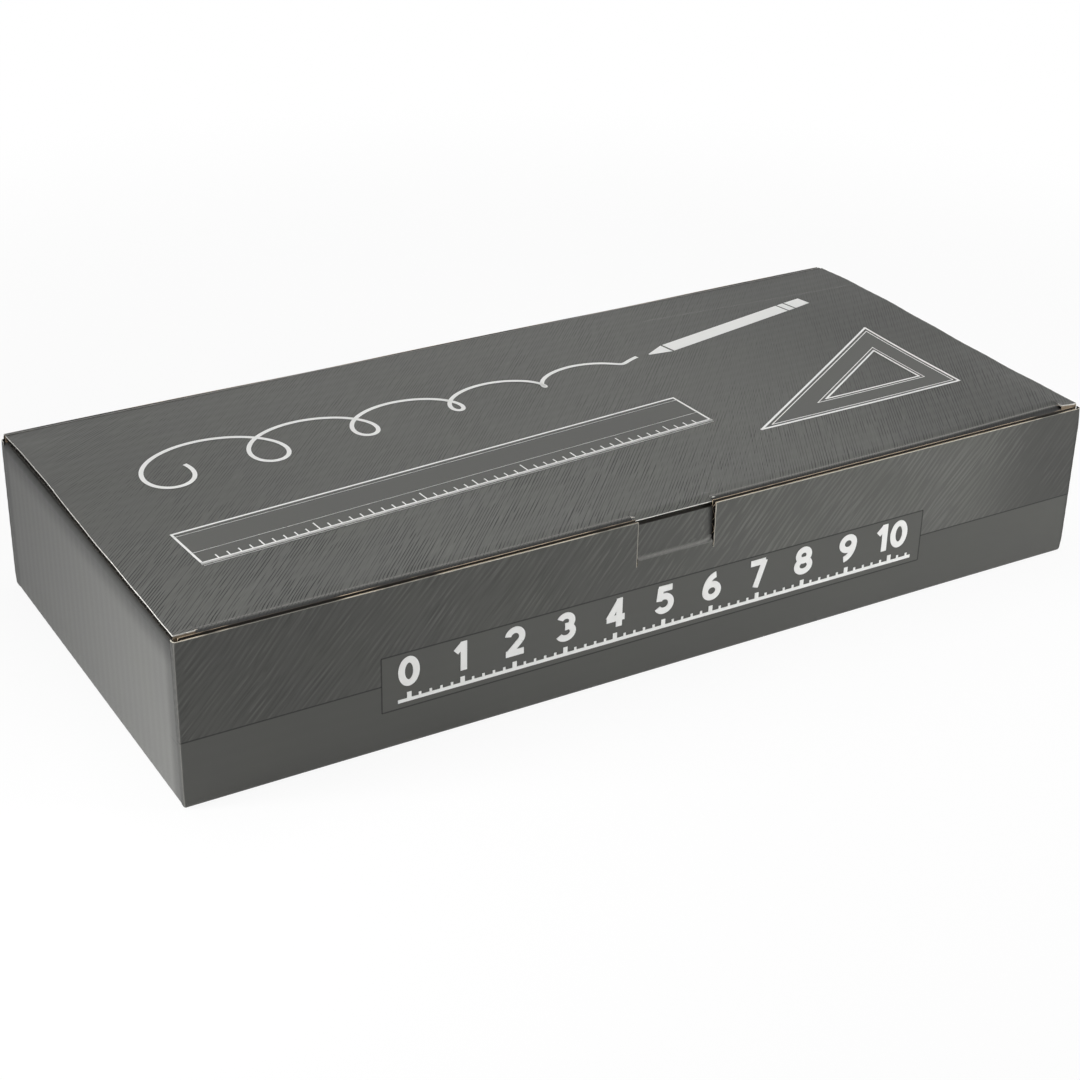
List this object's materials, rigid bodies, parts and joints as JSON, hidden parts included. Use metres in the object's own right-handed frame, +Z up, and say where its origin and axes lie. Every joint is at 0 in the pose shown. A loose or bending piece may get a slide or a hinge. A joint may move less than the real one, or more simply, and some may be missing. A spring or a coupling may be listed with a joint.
{
  "type": "desk whiteboard in its mailer carton",
  "caption": "Closed corrugated mailer carton with a hinged tuck-front lid and lock tab, packed with a low wedge-shaped desk whiteboard, its marker and a button magnet.",
  "frame": {"origin": "centre of the carton's underside", "axes": "+X along the carton's length, +Y to the back, where the lid is hinged, +Z up"},
  "size_m": [0.44, 0.2, 0.075],
  "materials": {
    "printed_board": "grey print on corrugated board",
    "bare_board": "bare brown corrugated board",
    "foam": "white foamed plastic",
    "white_shell": "satin white shell",
    "white_glass": "white-backed writing glass",
    "steel": "plain sheet",
    "screw_steel": "zinc plated",
    "rubber": "matte",
    "marker_black": "gloss",
    "marker_white": "gloss",
    "felt": "pressed felt",
    "magnet": "nickel plated"
  },
  "bodies": {
    "carton": {"bottom_panel": "bare_board", "front_wall": "printed_board", "back_wall": "printed_board", "left_outer_wall": "printed_board", "right_outer_wall": "printed_board", "left_top_roll": "printed_board", "right_top_roll": "printed_board", "left_inner_wall": "printed_board", "right_inner_wall": "printed_board", "front_left_corner_flap": "bare_board", "front_right_corner_flap": "bare_board", "back_left_corner_flap": "bare_board", "back_right_corner_flap": "bare_board", "foam_cap_left": "foam", "foam_cap_right": "foam"},
    "lid": {"lid_panel": "printed_board"},
    "tuck": {"tuck_flap": "printed_board"},
    "tab": {"lock_tab": "printed_board"},
    "whiteboard": {"board_housing": "white_shell", "board_end_left": "white_shell", "board_end_right": "white_shell", "board_base": "white_shell", "base_screws": "screw_steel", "rubber_feet": "rubber", "steel_sheet": "steel", "writing_glass": "white_glass"},
    "marker": {"marker_barrel": "marker_white", "marker_end_plug": "marker_black", "marker_ink_core": "felt", "marker_nib": "felt"},
    "cap": {"marker_cap": "marker_black", "cap_felt": "felt"},
    "magnet": {"magnet_cap": "marker_black", "magnet_disc": "magnet"}
  },
  "joints": [
    {"name": "lid_hinge", "type": "hinge", "parent": "carton", "child": "lid", "pos_m": [0, 0.097, 0.075], "axis": [-1, 0, 0], "range_deg": [0, 180]},
    {"name": "tuck_fold", "type": "hinge", "parent": "lid", "child": "tuck", "pos_m": [0, -0.0936, 0.072], "axis": [1, 0, 0], "range_deg": [0, 75]},
    {"name": "tab_fold", "type": "hinge", "parent": "carton", "child": "tab", "pos_m": [0, -0.1, 0.056], "axis": [1, 0, 0], "range_deg": [-12, 90]},
    {"name": "whiteboard_lift", "type": "slide", "parent": "carton", "child": "whiteboard", "axis": [0, 0, 1], "range_m": [0, 0.016]},
    {"name": "marker_lift", "type": "slide", "parent": "whiteboard", "child": "marker", "axis": [0, 0, 1], "range_m": [0, 0.014]},
    {"name": "cap_pull", "type": "slide", "parent": "marker", "child": "cap", "axis": [1, 0, 0], "range_m": [0, 0.038]},
    {"name": "magnet_lift", "type": "slide", "parent": "whiteboard", "child": "magnet", "axis": [0, 0, 1], "range_m": [0, 0.012]}
  ]
}
